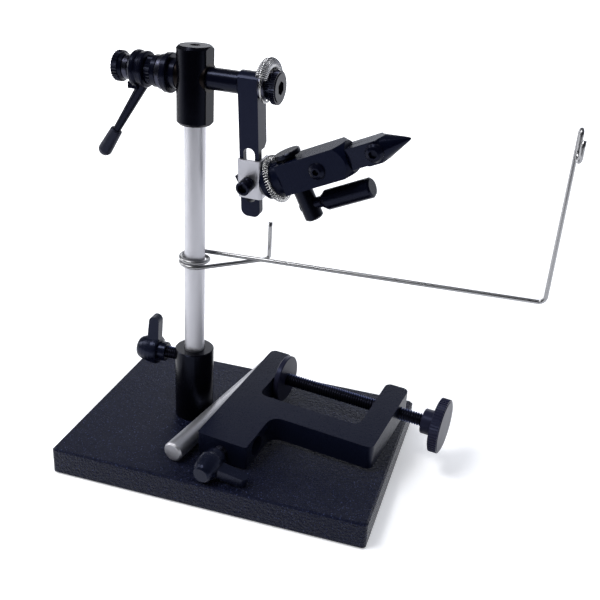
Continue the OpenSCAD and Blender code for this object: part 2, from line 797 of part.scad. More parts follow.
module crank_grip() color("black") on_crank() difference() {
    union() {
        turned([[crank_neck, 0], [crank_neck, grip_root_share * grip_r],
            [crank_neck + edge, grip_neck_share * grip_r],
            [crank_neck + grip_l - grip_r, grip_r], [crank_neck + grip_l - grip_r, 0]]);
        translate([crank_neck + grip_l - grip_r, 0, 0]) sphere(grip_r);
    }
    bore(crank_neck - over, crank_neck + grip_l / 2 + seat_gap, crank_rod_r + seat_gap);
}

module end_washer() color("darkgray") on_rotor()
    ring(end_washer_a - end_washer_t, end_washer_a, end_washer_r, nose_r + seat_gap);

module end_knob() color("black") on_rotor() difference() {
    union() {
        knurled(end_knob_a - end_knob_l, end_knob_a - end_neck_l, end_knob_r, end_teeth);
        turned([[end_knob_a - end_neck_l - edge, 0],
            [end_knob_a - end_neck_l - edge, end_knob_r - 2 * edge],
            [end_knob_a, end_washer_r], [end_knob_a, 0]]);
    }
    bore(end_knob_a - nose_l - run_gap, end_knob_a + over, nose_r + run_gap);
    bore(end_knob_a - end_knob_l - over, end_knob_a - end_knob_l + edge, end_knob_r / 2);
}

// Drop arm, hub, lock knob and material spring

module drop_arm() color("black") on_rotor() difference() {
    intersection() {
        translate([arm_start, 0, 0]) rotate([90, 0, 90]) linear_extrude(arm_w) intersection() {
            polygon([[-arm_t / 2, arm_t], [arm_t / 2, arm_t], [arm_t / 2, -step_drop],
                [arm_t / 2 - step_bevel, -step_drop - step_bevel],
                [blade_back, -step_drop - step_bevel], [blade_back, -arm_l],
                [-arm_t / 2, -arm_l]]);
            union() {
                circle(arm_top_r);
                translate([-arm_t, -2 * arm_l]) square([2 * arm_t, 2 * arm_l]);
            }
        }
        translate([arm_mid, arm_t, -arm_l]) rotate([90, 0, 0]) linear_extrude(2 * arm_t)
            difference() {
                translate([-arm_w / 2, 0]) square([arm_w, arm_l + arm_t]);
                for (i = [0, 1]) mirror([i, 0, 0]) translate([-arm_w / 2, 0])
                    corner_cut(arm_corner_r);
            }
    }
    bore(arm_start - over, arm_end + over, nose_r + seat_gap);
    translate([arm_mid, arm_t, -(slot_top + arm_l - slot_below) / 2]) rotate([90, 0, 0])
        linear_extrude(2 * arm_t) slot_outline(slot_w, arm_l - slot_below - slot_top);
}

// Slot with round ends, centred, its length along y
module slot_outline(w, l) {
    square([w, l - w], center = true);
    for (j = [-1, 1]) translate([0, j * (l - w) / 2]) circle(w / 2);
}

module spring_hub() color("black") on_rotor()
    ring(arm_end, arm_end + spring_hub_w, spring_hub_r, nose_r + seat_gap);

module spring_hoop() color("silver") on_rotor() translate([hoop_a, 0, arch_up])
    rotate([0, 90, 0]) rotate_extrude() translate([hoop_r, 0]) circle(hoop_wire_r);

module material_spring() color("lightgray") on_rotor() translate([arch_a, 0, arch_up])
    coil(arch_bend_r, arch_coil_r - spring_wire_r, spring_wire_r, arch_curls, arch_start,
        arch_sweep, "material_spring");

module lock_knob() color("black") on_rotor() difference() {
    union() {
        knurled(lock_knob_a, lock_knob_a + lock_step_l + edge, lock_step_r, lock_teeth);
        knurled(lock_knob_a + lock_step_l, lock_knob_a + lock_knob_l, lock_knob_r, lock_teeth);
    }
    bore(lock_knob_a - over, lock_knob_a + lock_nose_l + run_gap, nose_r + run_gap);
    hex_socket(lock_knob_a + lock_knob_l - lock_socket_h, lock_knob_a + lock_knob_l + over,
        lock_socket_r);
}

// Bracket that slides on the blade, with its screw

module slide_bracket() color("gainsboro") on_rotor() difference() {
    translate([0, 0, -bracket_drop - bracket_below]) linear_extrude(bracket_above + bracket_below)
        difference() {
            translate([arm_start - plate_lip, plate_front])
                square([jaw_start - arm_start + plate_lip, flange_reach - plate_front]);
            translate([arm_start - plate_lip - over, plate_back])
                square([flange_in - arm_start + plate_lip + over, flange_reach + over - plate_back]);
            translate([jaw_start, plate_front]) rotate(90) corner_cut(bend_r);
        }
    translate([arm_mid, 0, -bracket_drop]) rotate([90, 0, 0])
        cylinder(h = arm_t, r = cap_screw_r + seat_gap);
    translate([0, 0, -jaw_axis_c]) bore(arm_end, jaw_start + over, spigot_r + seat_gap);
}

module bracket_spacer() color("black") on_cap_screw()
    ring(0, spacer_h, cap_screw_head_r, cap_screw_r + seat_gap);

module bracket_screw() color("black") on_cap_screw() difference() {
    union() {
        ring(spacer_h, spacer_h + cap_screw_head_h, cap_screw_head_r);
        ring(plate_front - blade_back - nut_t, spacer_h + edge, cap_screw_r);
    }
    hex_socket(spacer_h + cap_screw_head_h - cap_hex_h, spacer_h + cap_screw_head_h + over,
        cap_hex_r);
}

module clamp_nut() color("dimgray") on_rotor()
    translate([arm_mid, blade_back + slide_gap + nut_t, -bracket_drop])
    rotate([90, 0, 0]) linear_extrude(nut_t) difference() {
        rotate(nut_turn) {
            circle(nut_r);
            translate([-nut_tail, -nut_r]) square([nut_tail, 2 * nut_r]);
        }
        circle(cap_screw_r + seat_gap);
    }

// Jaw head

module jaw_collar() color("black") {
    on_jaw() difference() {
        turned([[collar_start, 0], [collar_start, collar_start_r], [collar_cone_end, collar_r],
            [collar_l, collar_r], [collar_l, 0]]);
        rotate([0, jaw_rise, 0]) translate([-4 * collar_r, -2 * collar_r, -2 * collar_r])
            cube(4 * collar_r);
        translate([ring_s, 0, 0]) rotate([0, 90, 0]) rotate_extrude()
            translate([ring_bend_r, 0]) circle(ring_coil_r + slide_gap);
    }
    on_rotor() translate([0, 0, -jaw_axis_c]) bore(flange_in, jaw_start, spigot_r);
}

module collar_spring() color("lightgray") on_jaw() translate([ring_s, 0, 0])
    coil(ring_bend_r, ring_coil_r - spring_wire_r, spring_wire_r, ring_curls,
        ring_open_turn / 2, 360 - ring_open_turn, "collar_spring");

module jaw_body() color("black") on_jaw() difference() {
    intersection() {
        translate([jaw_body_s, -jaw_body_w / 2, -jaw_body_down])
            cube([jaw_body_l, jaw_body_w, jaw_body_up + jaw_body_down]);
        turned([[jaw_body_s, 0], [jaw_body_s, body_corner_r - edge],
            [jaw_body_s + edge, body_corner_r], [jaw_body_end - body_turned_l, body_corner_r],
            [jaw_body_end, body_nose_r], [jaw_body_end, 0]]);
    }
    translate([jaw_body_s + slot_wall, -jaw_w / 2 - jaw_side_gap, -jaw_h / 2 - slide_gap])
        cube([jaw_body_l, jaw_w + 2 * jaw_side_gap, jaw_h + 2 * slide_gap]);
    translate([cam_s, 0, -jaw_body_down - over])
        cylinder(h = jaw_body_down + over, r = cam_r + run_gap);
    translate([cam_s, 0, 0]) cylinder(h = jaw_body_up + over, r = cam_top_r + run_gap);
    translate([pin_screw_s, 0, 0]) rotate([0, 0, 90])
        bore(-jaw_body_w, jaw_body_w, pin_screw_r + seat_gap);
}

module jaw_pin_screw() color("black") on_jaw() translate([pin_screw_s, 0, 0])
    rotate([0, 0, -90]) difference() {
        union() {
            ring(-jaw_body_w / 2, jaw_body_w / 2 + edge, pin_screw_r);
            turned([[jaw_body_w / 2, 0], [jaw_body_w / 2, pin_head_r],
                [jaw_body_w / 2 + pin_head_h / 2, dome_share * pin_head_r],
                [jaw_body_w / 2 + pin_head_h, pin_head_r / 2],
                [jaw_body_w / 2 + pin_head_h, 0]]);
        }
        hex_socket(jaw_body_w / 2, jaw_body_w / 2 + pin_head_h + over, pin_screw_r);
    }

// One jaw of the pair, on the far side of the split
module jaw() difference() {
    intersection() {
        translate([0, 0, -2 * jaw_h]) linear_extrude(4 * jaw_h)
            polygon([[jaw_tail_s, cam_long_r + cam_gap], [jaw_fork_s, cam_long_r + cam_gap],
                [jaw_fork_s + edge, jaw_relief], [jaw_pivot_s, seat_gap], [jaw_tip_s, seat_gap],
                [jaw_tip_s, jaw_w / 2], [jaw_tail_s, jaw_w / 2]]);
        rotate([90, 0, 0]) linear_extrude(2 * jaw_w, center = true)
            polygon([[jaw_tail_s, -jaw_h / 2], [jaw_body_end + edge, -jaw_h / 2],
                [jaw_tip_s - jaw_nose_l - jaw_belly_l, -jaw_h / 2],
                [jaw_tip_s - jaw_nose_l - belly_start_share * jaw_belly_l,
                    -jaw_h / 2 - jaw_belly],
                [jaw_tip_s, -jaw_h / 2 - jaw_belly], [jaw_tip_s, jaw_h / 2],
                [jaw_tail_s, jaw_h / 2]]);
        turned([[jaw_tail_s, 0], [jaw_tail_s, jaw_w], [jaw_tip_s - jaw_nose_l - edge, jaw_w],
            [jaw_tip_s - jaw_nose_l, jaw_corner_r],
            [jaw_tip_s - jaw_nose_l + jaw_shoulder_l, jaw_shoulder_r],
            [jaw_tip_s - jaw_tip_r, jaw_tip_r], [jaw_tip_s, jaw_tip_share * jaw_tip_r], [jaw_tip_s, 0]]);
    }
    translate([pin_screw_s, 0, 0]) rotate([0, 0, 90]) bore(0, jaw_w, pin_screw_r + pin_clear);
    translate([jaw_pivot_s, 0, 0]) rotate([0, 0, 90])
        bore(0, jaw_w, jaw_screw_r + jaw_screw_clear);
}

module far_jaw() color("black") on_jaw() jaw();
module near_jaw() color("black") on_jaw() mirror([0, 1, 0]) jaw();

module jaw_tension_screw() color("black") on_jaw() translate([jaw_pivot_s, 0, 0])
    rotate([0, 0, -90]) difference() {
        union() {
            ring(-jaw_w / 2 + edge, jaw_w / 2 + edge, jaw_screw_r);
            turned([[jaw_w / 2, 0], [jaw_w / 2, jaw_screw_head_r],
                [jaw_w / 2 + jaw_screw_head_h / 2, jaw_screw_head_r],
                [jaw_w / 2 + screw_dome_shares[0] * jaw_screw_head_h,
                    screw_dome_shares[1] * jaw_screw_head_r],
                [jaw_w / 2 + jaw_screw_head_h, jaw_screw_head_r / 2],
                [jaw_w / 2 + jaw_screw_head_h, 0]]);
        }
        hex_socket(jaw_w / 2 + jaw_screw_head_h / 2, jaw_w / 2 + jaw_screw_head_h + over,
            jaw_screw_r);
    }

module cam_shaft() color("black") on_cam() difference() {
    union() {
        rotate([0, -90, 0]) turned([[-cam_drop, 0], [-cam_drop, cam_r - 2 * edge],
            [2 * edge - cam_drop, cam_r], [-jaw_h / 2 - slide_gap, cam_r],
            [-jaw_h / 2 - slide_gap, 0]]);
        translate([0, 0, -jaw_h / 2 - slide_gap]) linear_extrude(jaw_h + 2 * slide_gap)
            cam_outline();
        cylinder(h = jaw_body_up + cam_rise + disc_t / 2, r = cam_short_r);
        translate([0, 0, jaw_h / 2 + slide_gap])
            cylinder(h = jaw_body_up + cam_rise + disc_t / 2 - jaw_h / 2 - slide_gap, r = cam_top_r);
    }
    translate([0, 0, -lever_drop]) bore(-2 * cam_r, 2 * cam_r, lever_rod_r + seat_gap);
}

// Cam between the jaws' tails: two arcs that meet, long across the jaws
module cam_outline() {
    arc_r = (pow(cam_long_r, 2) + pow(cam_short_r, 2)) / (2 * cam_short_r);
    intersection() {
        translate([arc_r - cam_short_r, 0]) circle(arc_r);
        translate([cam_short_r - arc_r, 0]) circle(arc_r);
    }
}

module cam_disc() color("black") on_cam() rotate([0, -90, 0]) difference() {
    union() {
        ring(jaw_body_up + cam_rise, jaw_body_up + cam_rise + disc_t, disc_r);
        ring(jaw_body_up + slide_gap, jaw_body_up + cam_rise + edge, disc_r / 2, bevel = seat_gap);
    }
    bore(0, jaw_body_up + cam_rise + disc_t / 2 + seat_gap, cam_top_r + seat_gap);
}

module cam_lever() color("black") on_cam() translate([0, 0, -lever_drop])
    turned([[-cam_r + edge, 0], [-cam_r + edge, lever_rod_r], [lever_cone_s, lever_rod_r],
        [lever_cone_s + lever_cone_l, lever_r], [lever_cone_s + lever_l - 2 * edge, lever_r],
        [lever_cone_s + lever_l, lever_r - 2 * edge], [lever_cone_s + lever_l, 0]]);

// Bobbin rest: one wire, from the cradle's free prong down to the coil and the short hook

// Points of a bend that rounds the corner p between a and b with radius r
function bend(a, p, b, r) =
    let (u = unit(a - p), v = unit(b - p), half = acos(u * v) / 2,
        middle = p + unit(u + v) * r / sin(half), swing = 180 - 2 * half,
        from = p + u * r / tan(half) - middle, to = p + v * r / tan(half) - middle)
    [for (i = [0 : corner_steps])
        middle + (sin(swing * (1 - i / corner_steps)) * from
            + sin(swing * i / corner_steps) * to) / sin(swing)];

rest_y = rest_coil_r;
rest_top = rest_z + rest_rise + rest_upright;
rest_pitch = 2 * rest_wire_r + rest_gap;
function fork(depth, z) = [rest_reach + rest_lean + depth * sin(fork_turn),
    rest_y - depth * cos(fork_turn), z];
function rest_coil_at(turn) = [rest_coil_r * cos(90 + turn), rest_coil_r * sin(90 + turn),
    rest_z - rest_pitch * turn / 360];
rest_exit = rest_coil_at(rest_leave);
rest_heading = 180 + rest_leave;
rest_corner = [rest_reach, rest_y, rest_z + rest_rise];
rest_hook = rest_exit + [hook_reach * cos(rest_heading), hook_reach * sin(rest_heading), hook_rise];
cradle_floor = rest_top - cradle_depth;
rest_path = concat(
    [fork(hairpin_w + cradle_w, cradle_floor + cradle_prong)],
    bend(fork(hairpin_w + cradle_w, rest_top), fork(hairpin_w + cradle_w, cradle_floor),
        fork(hairpin_w, cradle_floor), cradle_w / 2),
    bend(fork(hairpin_w + cradle_w, cradle_floor), fork(hairpin_w, cradle_floor),
        fork(hairpin_w, rest_top), cradle_w / 2),
    bend(fork(hairpin_w, cradle_floor), fork(hairpin_w, rest_top), fork(0, rest_top),
        hairpin_w / 2),
    bend(fork(hairpin_w, rest_top), fork(0, rest_top), rest_corner, hairpin_w / 2),
    bend(fork(0, rest_top), rest_corner, rest_coil_at(0), rest_corner_r),
    [for (i = [0 : coil_steps]) rest_coil_at(rest_leave * i / coil_steps)],
    bend(rest_exit, rest_hook, rest_hook + [0, 0, hook_h], hook_corner_r),
    [rest_hook + [0, 0, hook_h]]);

// Points of a tube along a path: each ring's frame follows from the one before it
function way_at(path, i) = unit(path[min(i + 1, len(path) - 1)] - path[max(i - 1, 0)]);
function square_to(side, way) = unit(side - (side * way) * way);
function tube_points(path, r, sides) =
    let (sides_at = [for (i = 0, side = square_to([1, 0, 0], way_at(path, 0)); i < len(path);
            i = i + 1, side = square_to(side, way_at(path, min(i, len(path) - 1)))) side])
    [for (i = [0 : len(path) - 1], j = [0 : sides - 1])
        let (way = way_at(path, i), side = sides_at[i], up = cross(way, side))
        path[i] + r * (cos(360 * j / sides) * side + sin(360 * j / sides) * up)];

module bobbin_rest() color("silver") on_post()
    polyhedron(tube_points(rest_path, rest_wire_r, rest_sides),
        tube_faces(len(rest_path), rest_sides));

// Loose clamp and spare stem

module clamp_outline() difference() {
    union() {
        square([clamp_jaw_w, clamp_w]);
        square([clamp_block_w, clamp_block_d]);
        translate([0, clamp_block_d]) square([clamp_l, clamp_bridge_d]);
        translate([clamp_l - clamp_arm_w, clamp_block_d])
            square([clamp_arm_w, clamp_w - clamp_block_d]);
        translate([clamp_block_w, clamp_block_d]) rotate(-90) corner_fill(clamp_fillet);
        translate([clamp_jaw_w, clamp_block_d + clamp_bridge_d]) corner_fill(clamp_inner_r);
        translate([clamp_l - clamp_arm_w, clamp_block_d + clamp_bridge_d]) rotate(90)
            corner_fill(clamp_inner_r);
    }
    corner_cut(clamp_edge_r);
    translate([clamp_block_w, 0]) rotate(90) corner_cut(clamp_edge_r);
    translate([clamp_l, clamp_block_d]) rotate(90) corner_cut(clamp_outer_r);
    translate([clamp_l, clamp_w]) rotate(180) corner_cut(clamp_outer_r);
    translate([clamp_l - clamp_arm_w, clamp_w]) rotate(-90) corner_cut(clamp_outer_r);
    translate([clamp_jaw_w, clamp_w]) rotate(180) corner_cut(clamp_outer_r);
    translate([0, clamp_w]) rotate(-90) corner_cut(clamp_outer_r);
}

module clamp_frame() color("black") on_clamp() difference() {
    linear_extrude(clamp_t) clamp_outline();
    translate([0, stem_bore_y, clamp_t / 2]) bore(-over, clamp_block_w + over, stem_bore_r);
    translate([clamp_block_w / 2, 0, clamp_t / 2]) rotate([0, 0, 90])
        bore(-over, stem_bore_y, stud_r + run_gap);
    translate([0, clamp_screw_y, clamp_t / 2])
        bore(clamp_l - clamp_arm_w - over, clamp_l + over, clamp_screw_r + run_gap);
}

module on_clamp_screw() on_clamp() translate([0, clamp_screw_y, clamp_t / 2]) children();

module clamp_screw() color("dimgray") on_clamp_screw()
    ring(clamp_pad_x + clamp_seat, clamp_knob_x + clamp_knob_t / 2, clamp_screw_r);

module clamp_pad() color("black") on_clamp_screw() difference() {
    ring(clamp_pad_x, clamp_pad_x + clamp_pad_t, clamp_pad_r);
    bore(clamp_pad_x + clamp_seat, clamp_pad_x + clamp_pad_t + over, clamp_screw_r + seat_gap);
}

module clamp_knob() color("black") on_clamp_screw() difference() {
    union() {
        ring(clamp_hub_x, clamp_knob_x + edge, clamp_hub_r);
        knurled(clamp_knob_x, clamp_knob_x + clamp_knob_t, clamp_knob_r, clamp_teeth);
    }
    bore(clamp_hub_x - over, clamp_knob_x + clamp_knob_t / 2 + run_gap, clamp_screw_r + run_gap);
}

module spare_stem() color("lightgray")
    translate([stem_x, stem_y, base_top + loose_gap + post_r]) rotate([0, 0, 90 - stem_turn])
    ring(0, stem_l, post_r, bevel = 2 * edge);

base_plate();
base_pad();
post_socket();
socket_bolt();
post_screw_stud();
post_screw_knob();
post();
head_block();
spindle_bushes();
head_grub_screws();
bearing_flange();
spindle();
friction_washer();
tension_ring();
crank_hub();
crank_clamp_screw();
crank_lever();
crank_grip();
end_washer();
end_knob();
drop_arm();
spring_hub();
spring_hoop();
material_spring();
lock_knob();
slide_bracket();
bracket_spacer();
bracket_screw();
clamp_nut();
jaw_collar();
collar_spring();
jaw_body();
jaw_pin_screw();
near_jaw();
far_jaw();
jaw_tension_screw();
cam_shaft();
cam_disc();
cam_lever();
bobbin_rest();
clamp_frame();
clamp_screw();
clamp_pad();
clamp_knob();
stem_screw_stud();
stem_screw_knob();
spare_stem();
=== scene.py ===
import bmesh
import bpy
import numpy as np
from mathutils import Matrix


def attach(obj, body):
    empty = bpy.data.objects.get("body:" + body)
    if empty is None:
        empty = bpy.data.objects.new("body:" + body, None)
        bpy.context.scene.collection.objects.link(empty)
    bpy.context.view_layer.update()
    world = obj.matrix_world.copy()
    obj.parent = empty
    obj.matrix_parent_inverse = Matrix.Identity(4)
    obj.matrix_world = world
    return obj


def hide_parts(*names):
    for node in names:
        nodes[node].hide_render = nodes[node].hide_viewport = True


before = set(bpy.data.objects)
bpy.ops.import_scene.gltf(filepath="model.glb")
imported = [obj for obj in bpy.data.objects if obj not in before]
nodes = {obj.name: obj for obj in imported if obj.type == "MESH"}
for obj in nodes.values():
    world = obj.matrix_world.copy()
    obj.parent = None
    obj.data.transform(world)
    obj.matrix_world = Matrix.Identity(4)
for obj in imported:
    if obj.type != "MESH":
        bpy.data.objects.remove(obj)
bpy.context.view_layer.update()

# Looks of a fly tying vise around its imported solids: threads, wound springs, the wire of
# the bobbin rest, finishes, floor, lamps and camera. The shapes are in millimetres and
# turn into metres in one place, the function that makes a mesh. The camera, the lamps, the
# floor and the scales of the finishes are in metres.
MM = 0.001


# Camera

SENSOR_W, LENS = 36.0, 52.237
CAMERA_AT = (0.122159, -0.344567, 0.25731)
CAMERA_AHEAD, CAMERA_UP = (-0.2442, 0.8689, -0.4305), (-0.1740, 0.3974, 0.9010)


def unit(v):
    """Vectors of length 1 along the last axis."""
    return v / np.linalg.norm(v, axis=-1, keepdims=True)


def aim(thing, place, ahead, up):
    """Puts a camera or a lamp into the scene at a place. Its z axis points back from the
    way ahead, its x axis is square to up and back, and its y axis to these two."""
    bpy.context.scene.collection.objects.link(thing)
    back = -unit(np.array(ahead, float))
    right = unit(np.cross(up, back))
    axes = np.stack([right, np.cross(back, right), back], axis=1)
    thing.matrix_world = Matrix([(*row, p) for row, p in zip(axes, place)] + [(0, 0, 0, 1)])


def photo_camera():
    """Camera fitted to the photograph: its lens, its place and the ways ahead and up."""
    data = bpy.data.cameras.new("camera")
    data.sensor_width, data.lens = SENSOR_W, LENS
    camera = bpy.data.objects.new("camera", data)
    aim(camera, CAMERA_AT, CAMERA_AHEAD, CAMERA_UP)
    bpy.context.scene.camera = camera


photo_camera()


# Frames: a turn as a 3 by 3 array and a place, the same as in the solids

def turn(axis, degrees):
    """Rotation about one axis of the frame, right-handed."""
    c, s = np.cos(np.radians(degrees)), np.sin(np.radians(degrees))
    return np.array({"x": [[1, 0, 0], [0, c, -s], [0, s, c]],
                     "y": [[c, 0, s], [0, 1, 0], [-s, 0, c]],
                     "z": [[c, -s, 0], [s, c, 0], [0, 0, 1]]}[axis])


def inside(outer, place, *turns):
    """Frame at place in an outer frame, turned by each turn in order."""
    rotation = outer[0]
    for t in turns:
        rotation = rotation @ t
    return rotation, outer[1] + outer[0] @ np.array(place, float)


WORLD = (np.eye(3), np.zeros(3))
POST_X, POST_Y, SPINDLE_Z = -27.0, 1.0, 181.5
POST_R, BASE_TOP, LOOSE = 4.7625, 13.5, 0.3
SOCKET_TOP, SCREW_DROP = 50.5, 5.6
HEAD_TURN, ARM_SWING = 5.0, 7.0
JAW_START, JAW_DROP, JAW_RISE = 32.3, 43.15, 25.5
ON_POST = inside(WORLD, (POST_X, POST_Y, 0))
ON_ROTOR = inside(WORLD, (POST_X, POST_Y, SPINDLE_Z), turn("z", -HEAD_TURN),
                  turn("x", ARM_SWING))
ON_JAW = inside(ON_ROTOR, (JAW_START, 0, -JAW_DROP), turn("y", -JAW_RISE))
ON_POST_SCREW = inside(WORLD, (POST_X - POST_R - LOOSE, POST_Y, SOCKET_TOP - SCREW_DROP),
                       turn("z", 180))
CLAMP_X, CLAMP_Y, CLAMP_LIFT = -10.5, -32.9, 1.1
CLAMP_TURN, CLAMP_ROLL, CLAMP_TILT = 7.8, 1.0, 5.1
ON_CLAMP = inside(WORLD, (CLAMP_X, CLAMP_Y, BASE_TOP + CLAMP_LIFT), turn("z", -CLAMP_TURN),
                  turn("y", CLAMP_ROLL), turn("x", CLAMP_TILT))
CLAMP_W, CLAMP_T, BLOCK_W = 77.0, 12.7, 25.3
STEM_BORE_Y, STEM_CLEAR, SCREW_IN = 10.6, 0.05, 12.3
ON_CLAMP_SCREW = inside(ON_CLAMP, (0, CLAMP_W - SCREW_IN, CLAMP_T / 2))
ON_STEM_SCREW = inside(ON_CLAMP, (BLOCK_W / 2, STEM_BORE_Y - POST_R - STEM_CLEAR - LOOSE,
                                  CLAMP_T / 2), turn("z", -90))


# Meshes from grids of points

def mesh_of(name, points, placed, faces):
    """Mesh whose points are given in millimetres in a frame."""
    mesh = bpy.data.meshes.new(name)
    mesh.from_pydata(((points @ placed[0].T + placed[1]) * MM).tolist(), [], faces)
    return mesh


def piece_of(mesh, body, finish, stands_for):
    """Smooth piece with its finish, which rides on a body and stands for a solid."""
    mesh.shade_smooth()
    piece = bpy.data.objects.new(mesh.name, mesh)
    bpy.context.scene.collection.objects.link(piece)
    piece.data.materials.append(finish)
    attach(piece, body)
    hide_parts(stands_for)


def skin(name, rows, body, finish, placed, stands_for):
    """Closed surface over a grid of points: rows follow each other along the piece, each
    row is a ring, and a point at the middle of the first and the last row closes it."""
    count, around = rows.shape[:2]
    points = np.concatenate([rows.reshape(-1, 3), rows[[0, -1]].mean(axis=1)])
    i, j = np.meshgrid(np.arange(count - 1), np.arange(around), indexing="ij")
    k = (j + 1) % around
    quads = np.stack([i * around + j, i * around + k, (i + 1) * around + k,
                      (i + 1) * around + j], axis=-1).reshape(-1, 4)
    rim = np.arange(around)
    first, last = count * around, count * around + 1
    caps = np.concatenate([
        np.stack([np.full(around, first), np.roll(rim, -1), rim], axis=1),
        np.stack([np.full(around, last), rim + first - around,
                  np.roll(rim, -1) + first - around], axis=1)])
    mesh = mesh_of(name, points, placed, quads.tolist() + caps.tolist())
    mesh.validate()
    mesh.update()
    piece_of(mesh, body, finish, stands_for)


def wire(path, out, radius, sides):
    """Tube of round section: round each point of a path, radius times the cosine of an
    angle outwards plus radius times its sine across both the path and that way."""
    way = unit(np.gradient(path, axis=0))
    across = unit(np.cross(way, out))
    outward = np.cross(across, way)
    angle = np.linspace(0, 2 * np.pi, sides, endpoint=False)[None, :, None]
    return (path[:, None] + radius * (np.cos(angle) * outward[:, None]
                                      + np.sin(angle) * across[:, None]))


def coil(bend_r, mid_r, wire_r, curls, start, sweep, steps, sides):
    """Coil whose centre line is a circle of radius bend_r in the yz plane: the wire runs
    round it at mid_r, once for each curl, while the circle turns by sweep from start."""
    share = np.linspace(0, 1, curls * steps + 1)
    wind = 2 * np.pi * curls * share
    at = np.radians(start + sweep * share)
    out = np.stack([np.sin(wind), np.cos(wind) * np.sin(at), np.cos(wind) * np.cos(at)],
                   axis=1)
    middle = np.stack([np.zeros_like(at), bend_r * np.sin(at), bend_r * np.cos(at)], axis=1)
    return wire(middle + mid_r * out, out, wire_r, sides)


# Rows to a pitch, points to a turn, and how far from its ends a thread fades out
THREAD_STEPS, THREAD_SIDES, RUN_OUT = 8, 30, 0.5
# Share of the thread's wave that is flat at the crest, and again at the root
FLAT = 1 / 6
# In metres, how near two points are that merge, and how short an edge is that goes
SAME_PLACE, NO_LENGTH = 1e-6, 1e-7


def thread(radius, depth, pitch, length):
    """Screw thread along x. Rows and angles are counted in turns, and a point lies along
    at pitch times their sum, cut off at both ends. The radius falls by depth times a
    triangle wave of the row with flat crests and roots, and towards an end by all of it."""
    turns = int(np.ceil(length / pitch)) + 1
    row = np.arange(-THREAD_STEPS, turns * THREAD_STEPS + 1)[:, None] / THREAD_STEPS
    angle = np.linspace(0, 1, THREAD_SIDES, endpoint=False)[None, :]
    along = np.clip(pitch * (row + angle), 0, length)
    wave = np.abs((row % 1) * 2 - 1)
    flank = np.clip((wave - FLAT) / (1 - 2 * FLAT), 0, 1) + 0 * angle
    end = np.clip(np.minimum(along, length - along) / RUN_OUT, 0, 1)
    r = radius - depth * np.maximum(flank, 1 - end)
    turned = 2 * np.pi * angle + 0 * row
    return np.stack([along, r * np.cos(turned), r * np.sin(turned)], axis=-1)


def thread_skin(name, rows, body, placed, stands_for):
    """Surface of a thread: a row is one turn of the helix, and its last point joins the
    first one of the row a pitch further on. Where the ends are cut off, points that fall
    together merge, and the two open rings are filled."""
    count, around = rows.shape[:2]
    i, j = np.meshgrid(np.arange(count - 1), np.arange(around), indexing="ij")
    wrap = (j == around - 1) * THREAD_STEPS
    k = (j + 1) % around
    keep = i + 1 + wrap < count
    quads = np.stack([i * around + j, (i + wrap) * around + k, (i + 1 + wrap) * around + k,
                      (i + 1) * around + j], axis=-1)[keep]
    mesh = mesh_of(name, rows.reshape(-1, 3), placed, quads.tolist())
    work = bmesh.new()
    work.from_mesh(mesh)
    bmesh.ops.remove_doubles(work, verts=work.verts, dist=SAME_PLACE)
    bmesh.ops.dissolve_degenerate(work, edges=work.edges, dist=NO_LENGTH)
    bmesh.ops.holes_fill(work, edges=[e for e in work.edges if e.is_boundary])
    bmesh.ops.recalc_face_normals(work, faces=work.faces)
    work.to_mesh(mesh)
    work.free()
    piece_of(mesh, body, thread_dark, stands_for)


# Finishes: shader maths as expressions

class Value:
    """A socket of a node tree, on which sums and products add Math nodes."""

    def __init__(self, shader, socket):
        self.shader, self.socket = shader, socket

    def maths(self, operation, a, b):
        """A Math node on two values or numbers."""
        return self.shader.add("ShaderNodeMath", {"operation": operation}, {0: a, 1: b})

    def __add__(self, other):
        return self.maths("ADD", self, other)

    __radd__ = __add__

    def __mul__(self, other):
        return self.maths("MULTIPLY", self, other)

    __rmul__ = __mul__

    def __sub__(self, other):
        return self.maths("SUBTRACT", self, other)

    def __rsub__(self, other):
        return self.maths("SUBTRACT", other, self)

    def most(self, other):
        """The larger one of this value and another."""
        return self.maths("MAXIMUM", self, other)

    def clamped(self, low, high):
        """0 up to low, 1 from high on, and a smooth step between them."""
        return self.shader.add("ShaderNodeMapRange", {"interpolation_type": "SMOOTHSTEP"},
                               {"Value": self, "From Min": low, "From Max": high})


class Shader:
    """A node tree, with the one way in which nodes come into it."""

    def __init__(self, tree):
        self.tree = tree

    def add(self, kind, settings=None, values=None, output=0):
        """A node of a type, with its settings set first, then its sockets. What comes back
        is one of its outputs."""
        node = self.tree.nodes.new(kind)
        for key, value in (settings or {}).items():
            setattr(node, key, value)
        for key, value in (values or {}).items():
            self.put(node.inputs[key], value)
        return Value(self, node.outputs[output]) if node.outputs else None

    def put(self, socket, value):
        """A link or a plain value into a socket."""
        if isinstance(value, Value):
            self.tree.links.new(value.socket, socket)
        else:
            socket.default_value = value

    def along(self, vector, way):
        """How far a vector goes along a way: their dot product."""
        return self.add("ShaderNodeVectorMath", {"operation": "DOT_PRODUCT"},
                        {0: vector, 1: way}, output="Value")

    def mix(self, factor, a, b):
        """Colour between a and b."""
        return self.add("ShaderNodeMix", {"data_type": "RGBA"},
                        {"Factor": factor, 6: (*a, 1.0), 7: (*b, 1.0)}, output=2)

    def rays(self, *kinds):
        """1 for a ray of any of these kinds, else 0."""
        found = [self.add("ShaderNodeLightPath", output=f"Is {kind} Ray") for kind in kinds]
        total = found[0]
        for other in found[1:]:
            total = total.most(other)
        return total


